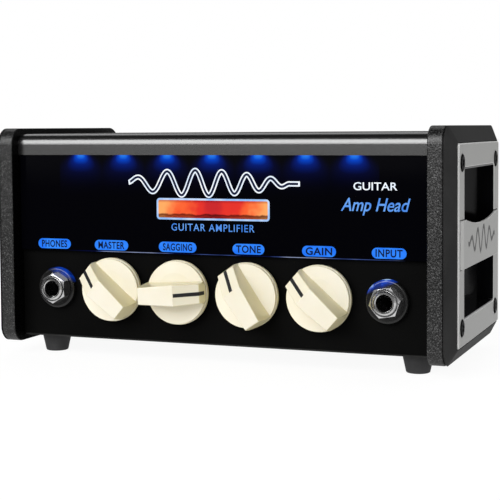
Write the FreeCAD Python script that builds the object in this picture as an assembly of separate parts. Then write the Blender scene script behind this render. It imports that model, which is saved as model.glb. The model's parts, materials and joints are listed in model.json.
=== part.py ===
"""Small guitar amplifier head: a steel chassis between two cheeks with hand pockets.

Millimetres. +X is the player's right, the controls face -Y and +Z is up. The origin is
the bottom centre of the bounding box. Heights are measured from the table under the
feet, and depths from the front plane of the cheeks.
"""
import FreeCAD, Part
import os
from math import cos, pi, radians, sin

os.makedirs("parts", exist_ok=True)
Vector = FreeCAD.Vector

# ---- driving dimensions -------------------------------------------------------------
cheek_depth = 97.2
cheek_height = 89.0
cheek_bottom = 5.6
cheek_corner = 6.8
cheek_rear_corner = 9.5
core_outer = 93.15
core_thickness = 5.9
side_face = 97.0
strap_proud = 0.9
knob_proud = 7.5
sheet = 1.2
panel_setback = 8.2
rear_setback = 8.0
chassis_bottom = 7.7
slip = 0.1

# ---- values that follow from them ---------------------------------------------------
cheek_top = cheek_bottom + cheek_height
core_inner = core_outer - core_thickness
front = knob_proud - (cheek_depth + knob_proud) / 2
rear = front + cheek_depth
panel_front = front + panel_setback
panel_back = panel_front + sheet
rear_face = rear - rear_setback
rear_inside = rear_face - sheet
floor_top = chassis_bottom + sheet

# ---- control layout -----------------------------------------------------------------
control_height = 29.0
knob_pitch = 29.5
knob_names = ["master", "sagging", "tone", "gain"]
knob_angles = {"master": -50.0, "sagging": 87.0, "tone": -34.0, "gain": -49.0}
knob_places = {name: (i - 1.5) * knob_pitch for i, name in enumerate(knob_names)}
jack_offset = 70.6
jack_height = 28.6
rear_knob_names = ["presence", "resonance"]
rear_knob_places = {"presence": -20.0, "resonance": 6.0}
rear_height = 28.0
switch_place = -46.0
dc_place = -66.0
aux_place = 34.0
speaker_place = 62.0


# ---- helpers ------------------------------------------------------------------------
def box(x0, x1, y0, y1, z0, z1):
    return Part.makeBox(x1 - x0, y1 - y0, z1 - z0, Vector(x0, y0, z0))


def rod_x(y, z, radius, x0, x1):
    return Part.makeCylinder(radius, x1 - x0, Vector(x0, y, z), Vector(1, 0, 0))


def rod_y(x, z, radius, y0, y1):
    return Part.makeCylinder(radius, y1 - y0, Vector(x, y0, z), Vector(0, 1, 0))


def rod_z(x, y, radius, z0, z1):
    return Part.makeCylinder(radius, z1 - z0, Vector(x, y, z0), Vector(0, 0, 1))


def cone_y(x, z, radius0, radius1, y0, y1):
    return Part.makeCone(radius0, radius1, y1 - y0, Vector(x, y0, z), Vector(0, 1, 0))


def hexagon_y(x, z, across_flats, y0, y1, turn=0.0):
    """Hexagonal prism along Y; turn is in degrees."""
    reach = across_flats / 2 / cos(pi / 6)
    corners = []
    for i in range(7):
        angle = radians(60 * i + turn)
        corners.append(Vector(x + reach * cos(angle), y0, z + reach * sin(angle)))
    return Part.Face(Part.makePolygon(corners)).extrude(Vector(0, y1 - y0, 0))


def along(shape, axis):
    """The straight edges of a shape that run along one axis."""
    found = []
    for edge in shape.Edges:
        span = edge.Vertexes[-1].Point - edge.Vertexes[0].Point
        if span.Length > 0 and abs(abs(span.dot(axis)) - span.Length) < 1e-6:
            found.append(edge)
    return found


def rounded_x(x0, x1, y0, y1, z0, z1, radius):
    """Plate across X with its four corners rounded."""
    plate = box(x0, x1, y0, y1, z0, z1)
    return plate.makeFillet(radius, along(plate, Vector(1, 0, 0)))


def rounded_y(x0, x1, y0, y1, z0, z1, radius):
    plate = box(x0, x1, y0, y1, z0, z1)
    return plate.makeFillet(radius, along(plate, Vector(0, 1, 0)))


def rounded_z(x0, x1, y0, y1, z0, z1, radius):
    plate = box(x0, x1, y0, y1, z0, z1)
    return plate.makeFillet(radius, along(plate, Vector(0, 0, 1)))


def outline_x(x, y0, y1, z0, z1, radius, rear_radius):
    """Closed rounded rectangle in the plane at x, with its own radius at the rear corners."""
    k = radius * (1 - cos(pi / 4))
    q = rear_radius * (1 - cos(pi / 4))
    arcs = [
        ((y0, z0 + radius), (y0 + k, z0 + k), (y0 + radius, z0)),
        ((y1 - rear_radius, z0), (y1 - q, z0 + q), (y1, z0 + rear_radius)),
        ((y1, z1 - rear_radius), (y1 - q, z1 - q), (y1 - rear_radius, z1)),
        ((y0 + radius, z1), (y0 + k, z1 - k), (y0, z1 - radius)),
    ]
    edges = []
    for i, corner in enumerate(arcs):
        points = [Vector(x, y, z) for y, z in corner]
        edges.append(Part.Arc(*points).toShape())
        start = arcs[(i + 1) % 4][0]
        edges.append(Part.LineSegment(points[2], Vector(x, *start)).toShape())
    return Part.Wire(edges)


def prism_x(points, x0, x1):
    """Solid across X from (y, z) corners."""
    corners = [Vector(x0, y, z) for y, z in points + points[:1]]
    return Part.Face(Part.makePolygon(corners)).extrude(Vector(x1 - x0, 0, 0))


def cross_recess(centre, axis, across, size, width, depth):
    """Cross-shaped driver recess, to be cut into a screw head."""
    third = axis.cross(across)
    bars = []
    for long_way, short_way in ((across, third), (third, across)):
        corner = centre - long_way * size / 2 - short_way * width / 2
        points = [corner, corner + long_way * size]
        points.append(points[1] + short_way * width)
        points.append(corner + short_way * width)
        points.append(corner)
        bars.append(Part.Face(Part.makePolygon(points)).extrude(axis * -depth))
    return bars[0].fuse(bars[1])


def mirrored(shape):
    return shape.mirror(Vector(0, 0, 0), Vector(1, 0, 0))


def joined(first, *others):
    solid = first
    for other in others:
        solid = solid.fuse(other)
    return solid.removeSplitter()


def save(node, shape):
    shape.exportStep("parts/" + node + ".step")


def save_group(node, shapes):
    save(node, Part.makeCompound(shapes))


def save_pair(node, shape):
    """A right-hand piece and its mirror image on the left."""
    save("right_" + node, shape)
    save("left_" + node, mirrored(shape))


# ---- cheeks -------------------------------------------------------------------------
panel_inset_front = 10.4
panel_inset_rear = 8.3
panel_inset_low = 5.6
panel_inset_high = 6.7
panel_gap = 0.35
moulding_rim = 0.3
seam_width = 0.6
seam_depth = 0.6
side_sheet = 2.0
side_back = side_face - side_sheet
moulding_face = side_face - 0.6
window_y = (front + 20.0, front + 78.9)
window_z = (21.2, 78.7)
window_corner = 1.6
tub_lap = 1.2
tub_rim = 0.4
tub_wall = tub_lap + slip + tub_rim
tub_y = (window_y[0] - tub_lap, window_y[1] + tub_lap)
tub_z = (window_z[0] - tub_lap, window_z[1] + tub_lap)
tub_floor = 80.4
tub_radius = 11.0
screw_y = (front + 16.0, front + 82.0)
screw_z = (18.5, 80.6)
screw_radius = 1.5
side_head_radius = 3.35


def tub_block(x0, grow):
    """The block the hand pocket takes up, grown by a clearance."""
    return box(x0, side_face + 1, tub_y[0] - grow, tub_y[1] + grow, tub_z[0] - grow, tub_z[1] + grow)


def side_holes(radius, x0, x1):
    return [rod_x(y, z, radius, x0, x1) for y in screw_y for z in screw_z]


def cheek_outline(x, inset=0.0):
    return outline_x(
        x, front + inset, rear - inset, cheek_bottom + inset, cheek_top - inset,
        cheek_corner - inset, cheek_rear_corner - inset)


def cheek_plate(x0, x1, inset=0.0):
    return Part.Face(cheek_outline(x0, inset)).extrude(Vector(x1 - x0, 0, 0))


def panel_bounds(grow=0.0):
    """The side panel's extent in y and z, grown by a clearance."""
    return (
        front + panel_inset_front - grow, rear - panel_inset_rear + grow,
        cheek_bottom + panel_inset_low - grow, cheek_top - panel_inset_high + grow)


def cheek_core():
    core = cheek_plate(core_inner, core_outer)
    core = core.makeFillet(0.5, [edge for edge in core.Edges if edge.BoundBox.XLength < 1e-6])
    core = core.cut(tub_block(core_inner - 1, slip))
    return core.cut(side_holes(screw_radius + 0.25, core_inner - 1, core_outer + 1))


def moulding():
    """Smooth chamfered rim outside the textured core, parted from it by a shadow gap."""
    start = core_outer + seam_depth
    neck = cheek_plate(core_outer, start, seam_width)
    narrow = outline_x(moulding_face, *panel_bounds(panel_gap + moulding_rim), 1.8, 1.8)
    rim = joined(neck, Part.makeLoft([cheek_outline(start), narrow], True, True))
    seat = rounded_x(side_back, side_face + 1, *panel_bounds(panel_gap), 1.5)
    rim = rim.cut([seat, tub_block(core_outer - 1, slip)])
    return rim.cut(side_holes(screw_radius + 0.25, core_outer - 1, side_face))


strap_y = (front + 12.4, rear - 11.2)
strap_z = (40.7, 59.0)
strap_dip = 2.6
strap_bevel = 2.4
strap_edge = 0.15
strap_gap = 0.4
strap_gap_depth = 0.5
strap_pins_y = (front + 16.2, rear - 14.4)
strap_mid = (strap_z[0] + strap_z[1]) / 2


def strap_groove():
    """Shadow gap cut into the side panel around the ends of the strap."""
    outer = box(
        side_face - strap_gap_depth, side_face + 1, strap_y[0] - strap_gap, strap_y[1] + strap_gap,
        strap_z[0] - strap_gap, strap_z[1] + strap_gap)
    return outer.cut(box(side_face - 1, side_face + 2, *strap_y, *strap_z))


def side_panel():
    """Grey painted plate with one large window, let into the moulding."""
    window = rounded_x(side_back - 1, side_face + 1, *window_y, *window_z, window_corner)
    panel = rounded_x(side_back, side_face, *panel_bounds(), 1.2).cut(window)
    face_rim = [edge for edge in panel.Edges if edge.BoundBox.XMin > side_face - 1e-3]
    panel = panel.makeChamfer(0.45, face_rim)
    sinks = side_holes(side_head_radius + 0.2, side_face - 1.2, side_face + 1)
    shanks = side_holes(screw_radius + 0.25, side_back - 1, side_face + 1)
    pins = [rod_x(y, strap_mid, screw_radius, side_back - 1, side_face + 1) for y in strap_pins_y]
    return panel.cut([strap_groove()] + sinks + shanks + pins)


def handle_strap():
    """Thin bar across the window, thinned towards its ends and hollowed along its top edge."""
    y0, y1 = strap_y
    z0, z1 = strap_z
    thin = side_face + strap_edge
    outer = side_face + strap_proud
    plan = [
        (side_face, y0), (thin, y0), (outer, y0 + strap_bevel),
        (outer, y1 - strap_bevel), (thin, y1), (side_face, y1), (side_face, y0)]
    corners = [Vector(x, y, z0) for x, y in plan]
    bar = Part.Face(Part.makePolygon(corners)).extrude(Vector(0, 0, z1 - z0))
    half = (window_y[1] - window_y[0]) / 2
    radius = (half ** 2 + strap_dip ** 2) / (2 * strap_dip)
    middle = (window_y[0] + window_y[1]) / 2
    bar = bar.cut(rod_x(middle, z1 - strap_dip + radius, radius, side_face - 1, outer + 1))
    face_rim = [edge for edge in bar.Edges if edge.BoundBox.XMin > outer - 1e-3]
    bar = bar.makeFillet(0.3, [edge for edge in face_rim if edge.BoundBox.YLength > 1.0])
    pins = [rod_x(y, strap_mid, screw_radius, side_back + 0.2, side_face + 0.05) for y in strap_pins_y]
    return joined(bar, *pins)


def pocket_tub():
    """Black tub with broad rounds at its floor; its rim comes forward inside the window."""
    def hollow(inset, x1):
        block = box(
            tub_floor + inset, x1, tub_y[0] + inset, tub_y[1] - inset,
            tub_z[0] + inset, tub_z[1] - inset)
        floor_edges = []
        for edge in along(block, Vector(0, 0, 1)):
            if edge.BoundBox.XMin < tub_floor + inset + 1e-3:
                floor_edges.append(edge)
        return block.makeFillet(tub_radius - inset, floor_edges)
    rim = rounded_x(
        side_back - 1, side_face - 0.2, window_y[0] + slip, window_y[1] - slip,
        window_z[0] + slip, window_z[1] - slip, window_corner - slip)
    return joined(hollow(0.0, side_back), rim).cut(hollow(tub_wall, side_face + 1))


def side_screws():
    screws = []
    for y in screw_y:
        for z in screw_z:
            seat = side_face - 1.2
            head = rod_x(y, z, side_head_radius, seat, seat + 1.6)
            rim = [edge for edge in head.Edges if edge.BoundBox.XMin > seat + 1.5]
            head = head.makeFillet(0.6, rim)
            recess = cross_recess(
                Vector(seat + 1.7, y, z), Vector(1, 0, 0), Vector(0, 0.8, 0.6), 4.0, 0.9, 1.0)
            shank = rod_x(y, z, screw_radius, core_inner - 4.0, seat)
            screws.append(joined(head.cut(recess), shank))
    return screws


save_pair("cheek", cheek_core())
save_pair("moulding", moulding())
save_pair("side_panel", side_panel())
save_pair("handle_strap", handle_strap())
save_pair("pocket_tub", pocket_tub())
save_group("right_side_screws", side_screws())
save_group("left_side_screws", [mirrored(screw) for screw in side_screws()])

# ---- chassis and cover --------------------------------------------------------------
cover_top = cheek_top - 2.3
cover_sheet = 1.0
cover_under = cover_top - cover_sheet
lip_front = front + 4.7
lip_bottom = 83.6
lip_radius = 4.5
acrylic_thickness = 2.5
acrylic_bottom = 44.2
acrylic_top = 84.6
flange_width = 8.0
bend = 1.8
bushing_radius = 4.6
pot_bushing_radius = 3.5
foot_x = 79.0
foot_y = (front + 20.7, front + 76.7)
foot_places = [(x, y) for x in (-foot_x, foot_x) for y in foot_y]
cover_screw_x = (-60.0, 0.0, 60.0)
cover_screw_z = 87.0
board_hole_x = (-54.0, 54.0)
board_hole_y = (front + 32.0, front + 72.0)
board_holes = [(x, y) for x in board_hole_x for y in board_hole_y]
switch_hole = (8.8, 13.2)
dc_hole_radius = 4.0
aux_hole_radius = 3.0


def chassis_tray():
    """One folded sheet: floor, control panel, back panel and two side walls."""
    shell = box(-core_inner, core_inner, panel_front, rear_face, chassis_bottom, cover_under)
    low_edges = []
    for edge in along(shell, Vector(1, 0, 0)):
        if edge.BoundBox.ZMax < chassis_bottom + 1e-3:
            low_edges.append(edge)
    shell = shell.makeFillet(bend, low_edges)
    inside = box(
        -core_inner + sheet, core_inner - sheet, panel_back, rear_inside,
        floor_top, cover_under - sheet)
    mouth = box(
        -core_inner + flange_width, core_inner - flange_width, panel_back, rear_inside,
        floor_top, cover_under + 1)
    over_panel = box(
        -core_inner - 1, core_inner + 1, panel_front - 1, front + 16.5,
        acrylic_top, cover_under + 1)
    cuts = [inside, mouth, over_panel]
    for side in (-1, 1):
        pocket = tub_block(core_inner - 10, slip)
        cuts.append(pocket if side > 0 else mirrored(pocket))
        holes = side_holes(screw_radius, core_inner - 3, core_inner + 1)
        cuts += holes if side > 0 else [mirrored(hole) for hole in holes]
        cuts.append(rod_y(side * jack_offset, jack_height, bushing_radius, panel_front - 1, panel_back + 1))
    for x in knob_places.values():
        cuts.append(rod_y(x, control_height, pot_bushing_radius, panel_front - 1, panel_back + 1))
    for x in rear_knob_places.values():
        cuts.append(rod_y(x, rear_height, pot_bushing_radius, rear_inside - 1, rear_face + 1))
    cuts.append(rod_y(speaker_place, rear_height, bushing_radius, rear_inside - 1, rear_face + 1))
    cuts.append(rod_y(aux_place, rear_height, aux_hole_radius, rear_inside - 1, rear_face + 1))
    cuts.append(rod_y(dc_place, rear_height, dc_hole_radius, rear_inside - 1, rear_face + 1))
    wide, tall = switch_hole
    cuts.append(box(
        switch_place - wide / 2, switch_place + wide / 2, rear_inside - 1, rear_face + 1,
        rear_height - tall / 2, rear_height + tall / 2))
    for x in cover_screw_x:
        cuts.append(rod_y(x, cover_screw_z, screw_radius, rear_inside - 1, rear_face + 1))
    for x, y in foot_places + board_holes:
        cuts.append(rod_z(x, y, screw_radius, chassis_bottom - 1, floor_top + 1))
    for i in range(13):
        x = (i - 6) * 6.5
        cuts.append(rounded_z(
            x - 1.25, x + 1.25, front + 38, front + 66, chassis_bottom - 1, floor_top + 1, 1.2))
    return shell.cut(cuts)


def top_cover():
    """Lid with a rounded lip over the front panel and a lip screwed to the back panel."""
    width = core_inner - slip
    outer = box(-width, width, lip_front, rear_face + cover_sheet, lip_bottom, cover_top)
    inner = box(
        -width - 1, width + 1, lip_front + cover_sheet, rear_face, lip_bottom - 1, cover_under)
    bends = []
    for edge in along(outer, Vector(1, 0, 0)):
        if edge.BoundBox.ZMin > cover_top - 1e-3:
            bends.append(edge)
    inner_bends = []
    for edge in along(inner, Vector(1, 0, 0)):
        if edge.BoundBox.ZMin > cover_under - 1e-3 and edge.BoundBox.YMax < front + 20:
            inner_bends.append(edge)
    lid = outer.makeFillet(lip_radius, bends[:1]).cut(
        inner.makeFillet(lip_radius - cover_sheet, inner_bends))
    holes = []
    for x in cover_screw_x:
        holes.append(rod_y(x, cover_screw_z, screw_radius + 0.15, rear_face - 1, rear_face + 3))
    return lid.cut(holes)


def cover_screws():
    screws = []
    for x in cover_screw_x:
        seat = rear_face + cover_sheet
        head = rod_y(x, cover_screw_z, 2.9, seat, seat + 1.7)
        rim = [edge for edge in head.Edges if edge.BoundBox.YMin > seat + 1.6]
        head = head.makeFillet(0.6, rim)
        recess = cross_recess(
            Vector(x, seat + 1.8, cover_screw_z), Vector(0, 1, 0), Vector(0.6, 0, 0.8), 3.4, 0.8, 1.0)
        shank = rod_y(x, cover_screw_z, screw_radius, rear_inside - 3, seat)
        screws.append(joined(head.cut(recess), shank))
    return screws


def acrylic_panel():
    width = core_inner - 0.3
    sheet_block = box(
        -width, width, panel_front - acrylic_thickness, panel_front, acrylic_bottom, acrylic_top)
    face_rim = [edge for edge in sheet_block.Edges
                if edge.BoundBox.YMax < panel_front - acrylic_thickness + 1e-3]
    return sheet_block.makeChamfer(0.3, face_rim)


save("chassis_tray", chassis_tray())
save("top_cover", top_cover())
save_group("cover_screws", cover_screws())
save("acrylic_panel", acrylic_panel())

# ---- panel lighting -----------------------------------------------------------------
led_pitch = 19.4
led_count = 7
led_base = 86.2
led_board_top = led_base + 1.2
led_y = panel_front - acrylic_thickness / 2


def led_places():
    return [(i - (led_count - 1) / 2) * led_pitch for i in range(led_count)]


def leds():
    """Small surface-mounted lamps that shine down into the edge of the acrylic."""
    lamps = []
    for x in led_places():
        body = box(x - 1.75, x + 1.75, led_y - 1.2, led_y + 1.2, led_base - 1.0, led_base)
        lens = rod_z(x, led_y, 0.9, led_base - 1.3, led_base - 1.0)
        lamps.append(joined(body, lens))
    return lamps


def led_posts():
    return [rod_z(x, front + 12.0, 2.0, led_board_top, cover_under) for x in (-48.5, 48.5)]


save("led_board", box(-68, 68, lip_front + cover_sheet + 0.2, front + 15.5, led_base, led_board_top))
save_group("panel_leds", leds())
save_group("led_board_posts", led_posts())

# ---- feet ---------------------------------------------------------------------------
foot_top_radius = 6.3
foot_bottom_radius = 4.6
foot_head_radius = 2.9
foot_recess = 3.0


def rubber_feet():
    feet = []
    for x, y in foot_places:
        foot = Part.makeCone(
            foot_bottom_radius, foot_top_radius, chassis_bottom, Vector(x, y, 0), Vector(0, 0, 1))
        low_rim = [edge for edge in foot.Edges if edge.BoundBox.ZMax < 1e-3]
        foot = foot.makeFillet(0.6, low_rim)
        recess = rod_z(x, y, foot_head_radius + 0.2, -1, foot_recess)
        feet.append(foot.cut([recess, rod_z(x, y, screw_radius, -1, chassis_bottom + 1)]))
    return feet


def foot_screws():
    screws = []
    for x, y in foot_places:
        head = rod_z(x, y, foot_head_radius, foot_recess - 1.8, foot_recess)
        recess = cross_recess(
            Vector(x, y, foot_recess - 1.9), Vector(0, 0, -1), Vector(1, 0, 0), 3.4, 0.8, 1.0)
        shank = rod_z(x, y, screw_radius, foot_recess, floor_top + 1.6)
        screws.append(joined(head.cut(recess), shank))
    return screws


save_group("rubber_feet", rubber_feet())
save_group("foot_screws", foot_screws())

# ---- quarter-inch jacks -------------------------------------------------------------
jack_bore = 3.25
jack_mouth = 0.3
jack_reach = 6.6
jack_depth = 31.0
jack_width = 17.0
jack_tall = 15.5
collar_radius = 8.4
collar_thickness = 2.6
collar_step = 0.5
collar_step_radius = 6.9
nut_flats = 10.8
nut_thickness = 2.8


def facing(shape, to_rear):
    """Jack hardware is drawn facing -Y from a panel face at y = 0; turn it if needed."""
    turned = shape.copy()
    if to_rear:
        turned.rotate(Vector(0, 0, 0), Vector(0, 0, 1), 180)
    return turned


def jack_body():
    tail = jack_depth - jack_reach + 1.2
    bushing = rod_y(0, 0, bushing_radius, -jack_reach, sheet)
    lead = [edge for edge in bushing.Edges if edge.BoundBox.YMax < -jack_reach + 1e-3]
    bushing = bushing.makeChamfer(0.6, lead)
    case = box(-jack_width / 2, jack_width / 2, sheet, tail, -jack_tall / 2, jack_tall / 2)
    case = case.makeFillet(0.6, along(case, Vector(0, 1, 0)))
    bore = rod_y(0, 0, jack_bore, -jack_reach - 1, jack_depth - jack_reach)
    mouth = cone_y(0, 0, jack_bore + jack_mouth, jack_bore, -jack_reach, -jack_reach + jack_mouth)
    return joined(bushing, case).cut([bore, mouth])


def jack_collar():
    flange = rod_y(0, 0, collar_radius, -collar_thickness, 0)
    rim = [edge for edge in flange.Edges if edge.BoundBox.YMax < -collar_thickness + 1e-3]
    flange = flange.makeFillet(0.9, rim)
    step = rod_y(0, 0, collar_step_radius, -collar_thickness - collar_step, -collar_thickness)
    return joined(flange, step).cut(rod_y(0, 0, bushing_radius, -10, 1))


def jack_nut(turn):
    seat = -collar_thickness - collar_step
    nut = hexagon_y(0, 0, nut_flats, seat - nut_thickness, seat, turn)
    crown = cone_y(0, 0, nut_flats * 0.49, nut_flats * 0.49 + nut_thickness * 1.7, seat - nut_thickness, seat)
    return nut.common(crown).cut(rod_y(0, 0, bushing_radius, -12, 1))


jack_places = {
    "phones_jack": (-jack_offset, panel_front, jack_height, False, 90.0),
    "input_jack": (jack_offset, panel_front, jack_height, False, 10.0),
    "speaker_jack": (speaker_place, rear_face, rear_height, True, 12.0),
}
collars = []
nuts = []
for name, (x, y, z, to_rear, turn) in jack_places.items():
    for shapes, shape in ((None, jack_body()), (collars, jack_collar()), (nuts, jack_nut(turn))):
        placed = facing(shape, to_rear)
        placed.translate(Vector(x, y, z))
        if shapes is None:
            save(name, placed)
        else:
            shapes.append(placed)
save_group("jack_collars", collars)
save_group("jack_nuts", nuts)

# ---- potentiometers and knobs -------------------------------------------------------
shaft_radius = 3.0
shaft_slip = 0.05
can_radius = 8.0
can_length = 8.0
pot_bushing_reach = 3.8
pot_washer = 0.4
pot_nut = 2.0
shaft_reach = 12.2
disc_radius = 12.9
disc_back = 2.3
disc_front = 5.5
face_radius = 12.6
face_thickness = 0.9
groove_radius = 12.0
flange_thickness = 1.6
bar_butt_height = 15.7
bar_tip_height = 9.7
bar_butt = -12.9
bar_bend = 3.1
bar_tip = 11.85
bar_foot = 12.7
bar_half_foot = 4.5
bar_half_butt = 3.3
bar_half_bend = 4.2
bar_half_tip = 3.8
line_width = 1.45
line_sink = 0.4


def pot_body():
    """Sealed 16 mm potentiometer with a threaded bushing, at a panel face at y = 0."""
    can = rod_y(0, 0, can_radius, sheet, sheet + can_length)
    terminals = box(-6, 6, sheet + 1, sheet + can_length - 1.5, -11.5, -5)
    bushing = rod_y(0, 0, pot_bushing_radius, -pot_bushing_reach, sheet)
    bore = rod_y(0, 0, shaft_radius + shaft_slip, -10, sheet + can_length - 1.5)
    return joined(can, terminals, bushing).cut(bore)


def pot_hardware():
    washer = rod_y(0, 0, 5.6, -pot_washer, 0).cut(rod_y(0, 0, pot_bushing_radius, -1, 1))
    nut = hexagon_y(0, 0, 10.0, -pot_washer - pot_nut, -pot_washer, 10.0)
    return washer, nut.cut(rod_y(0, 0, pot_bushing_radius, -10, 1))


def pot_shaft(reach):
    return rod_y(0, 0, shaft_radius, -reach, sheet + can_length - 1.6)


def grip_bar():
    """Bar with leaning sides: flat from its butt to the bend, then sloping to the tip."""
    stations = [
        (bar_butt, bar_butt + 0.9, bar_butt_height, bar_half_butt),
        (bar_bend, bar_bend, bar_butt_height, bar_half_bend),
        (bar_foot, bar_tip, bar_tip_height, bar_half_tip)]
    foot = -disc_front + 0.5
    low = [(Vector(bar_half_foot, foot, z), Vector(-bar_half_foot, foot, z)) for z, _, _, _ in stations]
    high = [(Vector(half, -height, z), Vector(-half, -height, z)) for _, z, height, half in stations]

    def flat(*corners):
        return Part.Face(Part.makePolygon(list(corners) + [corners[0]]))
    faces = [
        flat(low[0][0], low[0][1], low[1][1], low[2][1], low[2][0], low[1][0]),
        flat(low[0][0], low[0][1], high[0][1], high[0][0]),
        flat(low[2][0], low[2][1], high[2][1], high[2][0]),
        flat(high[0][0], high[0][1], high[1][1], high[1][0]),
        flat(high[1][0], high[1][1], high[2][1], high[2][0])]
    for near, far in ((0, 1), (1, 2)):
        for side in (0, 1):
            faces.append(Part.makeRuledSurface(
                Part.makeLine(low[near][side], low[far][side]),
                Part.makeLine(high[near][side], high[far][side])))
    shell = Part.makeShell(faces)
    shell.sewShape()
    bar = Part.makeSolid(shell)
    ridges = [edge for edge in bar.Edges if edge.BoundBox.YMax < -disc_front - 2.0]
    bar = bar.makeFillet(0.4, ridges)
    return bar.common(rod_y(0, 0, disc_radius + 0.05, -bar_butt_height - 1, 0))


def pointer_knob():
    """Cream knob: a flanged disc with a full-width grip bar that slopes down to a pointer."""
    flange = rod_y(0, 0, disc_radius, -disc_back - flange_thickness, -disc_back)
    neck = rod_y(0, 0, groove_radius, -disc_front, -disc_back)
    face = rod_y(0, 0, face_radius, -disc_front, -disc_front + face_thickness)
    rims = []
    for plate in (flange, face):
        rims.append(plate.makeChamfer(0.2, [edge for edge in plate.Edges if edge.BoundBox.YLength < 1e-6]))
    crown = cone_y(0, 0, 8.0, face_radius - 0.2, -disc_front - 0.5, -disc_front)
    socket = rod_y(0, 0, 6.5, -disc_back - 2.6, 1)
    bore = rod_y(0, 0, shaft_radius, -shaft_reach, 1)
    return joined(neck, *rims, crown, grip_bar()).cut([socket, bore])


def pointer_line():
    """Black line let into the sloping half of the grip bar and on down its end."""
    slope = (bar_butt_height - bar_tip_height) / (bar_tip - bar_bend)
    start = bar_bend + 0.2
    top = bar_butt_height - slope * (start - bar_bend)
    low_end = disc_front + 0.6
    lean = (bar_foot - bar_tip) / (bar_tip_height - disc_front + 0.5)
    end = bar_tip + lean * (bar_tip_height - low_end)
    side_view = [
        (-top, start), (-bar_tip_height - 0.1, bar_tip), (-bar_tip_height, bar_tip + 0.1),
        (-low_end, end), (-low_end, end - line_sink),
        (-bar_tip_height + line_sink, bar_tip - line_sink), (-top + line_sink, start)]
    return prism_x(side_view, -line_width / 2, line_width / 2)


def turned(shape, angle, x, y, z, to_rear=False):
    """Turn about the shaft by a clock angle, then set the piece on its panel."""
    piece = shape.copy()
    piece.rotate(Vector(0, 0, 0), Vector(0, 1, 0), angle)
    if to_rear:
        piece.rotate(Vector(0, 0, 0), Vector(0, 0, 1), 180)
    piece.translate(Vector(x, y, z))
    return piece


line = pointer_line()
knob = pointer_knob().cut(line)
pots = []
washers = []
pot_nuts = []
for name, x in knob_places.items():
    angle = knob_angles[name]
    place = (x, panel_front, control_height)
    save(name + "_knob", turned(knob, angle, *place))
    save(name + "_pointer_line", turned(line, angle, *place))
    save(name + "_shaft", turned(pot_shaft(shaft_reach), 0, *place))
    pots.append(turned(pot_body(), 0, *place))
    washer, nut = pot_hardware()
    washers.append(turned(washer, 0, *place))
    pot_nuts.append(turned(nut, 0, *place))
save_group("front_pots", pots)

# ---- rear controls ------------------------------------------------------------------
rear_shaft_reach = 6.2
rear_knob_radius = 5.8
rear_knob_length = 7.6


def rear_knob():
    """Small black knob, short enough to stay inside the depth of the cheeks."""
    body = cone_y(0, 0, rear_knob_radius - 0.4, rear_knob_radius, -rear_knob_length, -0.6)
    face = [edge for edge in body.Edges if edge.BoundBox.YMax < -rear_knob_length + 1e-3]
    body = body.makeFillet(0.5, face)
    flutes = []
    for i in range(12):
        angle = radians(30 * i)
        reach = rear_knob_radius + 0.45
        flutes.append(rod_y(reach * sin(angle), reach * cos(angle), 0.9, -rear_knob_length - 1, -2.0))
    mark = box(-0.4, 0.4, -rear_knob_length - 1, -rear_knob_length + 0.4, 1.5, rear_knob_radius)
    socket = rod_y(0, 0, 4.6, -2.6, 1)
    bore = rod_y(0, 0, shaft_radius, -rear_shaft_reach, 1)
    return body.cut(flutes + [mark, socket, bore])


def rear_pot_body():
    can = rod_y(0, 0, can_radius, sheet, sheet + can_length)
    bushing = rod_y(0, 0, pot_bushing_radius, -2.0, sheet)
    bore = rod_y(0, 0, shaft_radius + shaft_slip, -10, sheet + can_length - 1.5)
    return joined(can, bushing).cut(bore)


def rear_pot_nut():
    return rod_y(0, 0, 4.4, -1.8, 0).cut(rod_y(0, 0, pot_bushing_radius, -3, 1))


rear_pots = []
rear_nuts = []
for name, x in rear_knob_places.items():
    place = (x, rear_face, rear_height)
    save(name + "_knob", turned(rear_knob(), 0, *place, to_rear=True))
    save(name + "_shaft", turned(pot_shaft(rear_shaft_reach), 0, *place, to_rear=True))
    rear_pots.append(turned(rear_pot_body(), 0, *place, to_rear=True))
    rear_nuts.append(turned(rear_pot_nut(), 0, *place, to_rear=True))
save_group("rear_pots", rear_pots)
save_group("pot_washers", washers)
save_group("pot_nuts", pot_nuts + rear_nuts)

rocker_tilt = 9.0
rocker_radius = 5.7
rocker_half_width = 3.4
switch_bezel = 1.6
switch_depth = 14.0
pivot_y = rear_face - 1.6
pivot_radius = 0.9


def switch_frame():
    """Snap-in rocker switch housing: bezel outside the back panel, body inside it."""
    wide, tall = switch_hole
    bezel = rounded_y(
        switch_place - wide / 2 - 1.3, switch_place + wide / 2 + 1.3, rear_face, rear_face + switch_bezel,
        rear_height - tall / 2 - 1.3, rear_height + tall / 2 + 1.3, 0.8)
    body = box(
        switch_place - wide / 2, switch_place + wide / 2, rear_face - switch_depth, rear_face + 0.5,
        rear_height - tall / 2, rear_height + tall / 2)
    well = box(
        switch_place - rocker_half_width - 0.15, switch_place + rocker_half_width + 0.15,
        pivot_y - 6.3, rear_face + switch_bezel + 1, rear_height - 5.9, rear_height + 5.9)
    axle = rod_x(pivot_y, rear_height, pivot_radius + shaft_slip, switch_place - 4.2, switch_place + 4.2)
    return joined(bezel, body).cut([well, axle])


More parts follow.
